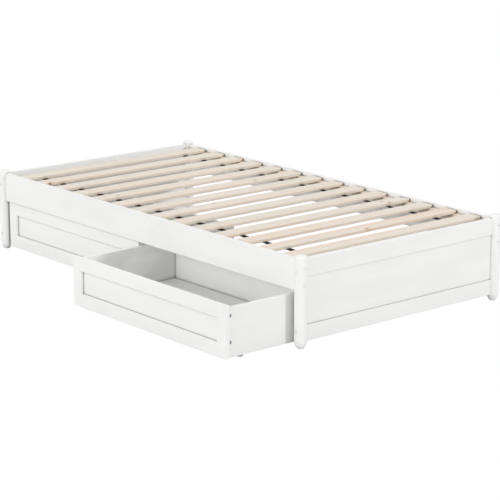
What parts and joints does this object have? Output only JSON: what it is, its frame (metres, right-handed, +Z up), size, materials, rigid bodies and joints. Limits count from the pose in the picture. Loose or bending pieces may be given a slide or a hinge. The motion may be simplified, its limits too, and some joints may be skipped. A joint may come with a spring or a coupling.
{
  "type": "platform bed with storage drawers",
  "caption": "Low white wooden platform bed with a slatted deck, round corner posts, panelled ends and rolling under-bed storage drawers along one side.",
  "frame": {"origin": "on the floor, at the middle of the footprint with the foot drawer at its rest opening of 327 mm", "axes": "+X from the head to the foot, -Y the way the drawers open, +Z up"},
  "size_m": [1.9935, 1.3673, 0.349],
  "materials": {
    "white_paint": "satin white paint on solid wood and board",
    "drawer_paint": "satin white paint on the drawer boxes",
    "slat_wood": "bare sanded softwood",
    "dowel_wood": "bare fluted hardwood",
    "strap_webbing": "black woven polypropylene webbing",
    "plated_steel": "zinc plated",
    "cap_plastic": "white moulded",
    "wheel_plastic": "moulded nylon"
  },
  "bodies": {
    "bed_frame": {"head_post_drawer_side": "white_paint", "head_post_wall_side": "white_paint", "head_top_rail": "white_paint", "head_panel": "white_paint", "head_bottom_rail": "white_paint", "foot_post_drawer_side": "white_paint", "foot_post_wall_side": "white_paint", "foot_top_rail": "white_paint", "foot_panel": "white_paint", "foot_bottom_rail": "white_paint", "side_rail_drawer_side": "white_paint", "side_rail_wall_side": "white_paint", "slat_cleat_drawer_side": "slat_wood", "slat_cleat_wall_side": "slat_wood", "cleat_screws": "plated_steel", "slat_01": "slat_wood", "slat_02": "slat_wood", "slat_03": "slat_wood", "slat_04": "slat_wood", "slat_05": "slat_wood", "slat_06": "slat_wood", "slat_07": "slat_wood", "slat_08": "slat_wood", "slat_09": "slat_wood", "slat_10": "slat_wood", "slat_11": "slat_wood", "slat_12": "slat_wood", "slat_13": "slat_wood", "slat_14": "slat_wood", "slat_straps": "strap_webbing", "bed_bolts": "plated_steel", "barrel_nuts": "plated_steel", "bolt_caps": "cap_plastic", "rail_dowels": "dowel_wood"},
    "head_drawer": {"head_drawer_front": "white_paint", "head_drawer_inner_front": "drawer_paint", "head_drawer_left_side": "drawer_paint", "head_drawer_right_side": "drawer_paint", "head_drawer_back": "drawer_paint", "head_drawer_bottom": "drawer_paint", "head_drawer_screws": "plated_steel", "head_caster_brackets": "plated_steel", "head_caster_axles": "plated_steel"},
    "head_wheel_front_left": {"head_wheel_front_left": "wheel_plastic"},
    "head_wheel_front_right": {"head_wheel_front_right": "wheel_plastic"},
    "head_wheel_back_left": {"head_wheel_back_left": "wheel_plastic"},
    "head_wheel_back_right": {"head_wheel_back_right": "wheel_plastic"},
    "foot_drawer": {"foot_drawer_front": "white_paint", "foot_drawer_inner_front": "drawer_paint", "foot_drawer_left_side": "drawer_paint", "foot_drawer_right_side": "drawer_paint", "foot_drawer_back": "drawer_paint", "foot_drawer_bottom": "drawer_paint", "foot_drawer_screws": "plated_steel", "foot_caster_brackets": "plated_steel", "foot_caster_axles": "plated_steel"},
    "foot_wheel_front_left": {"foot_wheel_front_left": "wheel_plastic"},
    "foot_wheel_front_right": {"foot_wheel_front_right": "wheel_plastic"},
    "foot_wheel_back_left": {"foot_wheel_back_left": "wheel_plastic"},
    "foot_wheel_back_right": {"foot_wheel_back_right": "wheel_plastic"}
  },
  "joints": [
    {"name": "head_drawer_slide", "type": "slide", "parent": "bed_frame", "child": "head_drawer", "axis": [0, -1, 0], "range_m": [0, 0.45]},
    {"name": "head_wheel_front_left_roll", "type": "hinge", "parent": "head_drawer", "child": "head_wheel_front_left", "pos_m": [-0.908, -0.26315, 0.015], "axis": [1, 0, 0], "continuous": true},
    {"name": "head_wheel_front_right_roll", "type": "hinge", "parent": "head_drawer", "child": "head_wheel_front_right", "pos_m": [-0.0405, -0.26315, 0.015], "axis": [1, 0, 0], "continuous": true},
    {"name": "head_wheel_back_left_roll", "type": "hinge", "parent": "head_drawer", "child": "head_wheel_back_left", "pos_m": [-0.908, 0.06785, 0.015], "axis": [1, 0, 0], "continuous": true},
    {"name": "head_wheel_back_right_roll", "type": "hinge", "parent": "head_drawer", "child": "head_wheel_back_right", "pos_m": [-0.0405, 0.06785, 0.015], "axis": [1, 0, 0], "continuous": true},
    {"name": "foot_drawer_slide", "type": "slide", "parent": "bed_frame", "child": "foot_drawer", "axis": [0, -1, 0], "range_m": [-0.327, 0.123]},
    {"name": "foot_wheel_front_left_roll", "type": "hinge", "parent": "foot_drawer", "child": "foot_wheel_front_left", "pos_m": [0.0405, -0.59015, 0.015], "axis": [1, 0, 0], "continuous": true},
    {"name": "foot_wheel_front_right_roll", "type": "hinge", "parent": "foot_drawer", "child": "foot_wheel_front_right", "pos_m": [0.908, -0.59015, 0.015], "axis": [1, 0, 0], "continuous": true},
    {"name": "foot_wheel_back_left_roll", "type": "hinge", "parent": "foot_drawer", "child": "foot_wheel_back_left", "pos_m": [0.0405, -0.25915, 0.015], "axis": [1, 0, 0], "continuous": true},
    {"name": "foot_wheel_back_right_roll", "type": "hinge", "parent": "foot_drawer", "child": "foot_wheel_back_right", "pos_m": [0.908, -0.25915, 0.015], "axis": [1, 0, 0], "continuous": true}
  ],
  "couplings": [
    {"joint": "head_wheel_front_left_roll", "follows": "head_drawer_slide", "rad_per_m": 66.667},
    {"joint": "head_wheel_front_right_roll", "follows": "head_drawer_slide", "rad_per_m": 66.667},
    {"joint": "head_wheel_back_left_roll", "follows": "head_drawer_slide", "rad_per_m": 66.667},
    {"joint": "head_wheel_back_right_roll", "follows": "head_drawer_slide", "rad_per_m": 66.667},
    {"joint": "foot_wheel_front_left_roll", "follows": "foot_drawer_slide", "rad_per_m": 66.667},
    {"joint": "foot_wheel_front_right_roll", "follows": "foot_drawer_slide", "rad_per_m": 66.667},
    {"joint": "foot_wheel_back_left_roll", "follows": "foot_drawer_slide", "rad_per_m": 66.667},
    {"joint": "foot_wheel_back_right_roll", "follows": "foot_drawer_slide", "rad_per_m": 66.667}
  ]
}
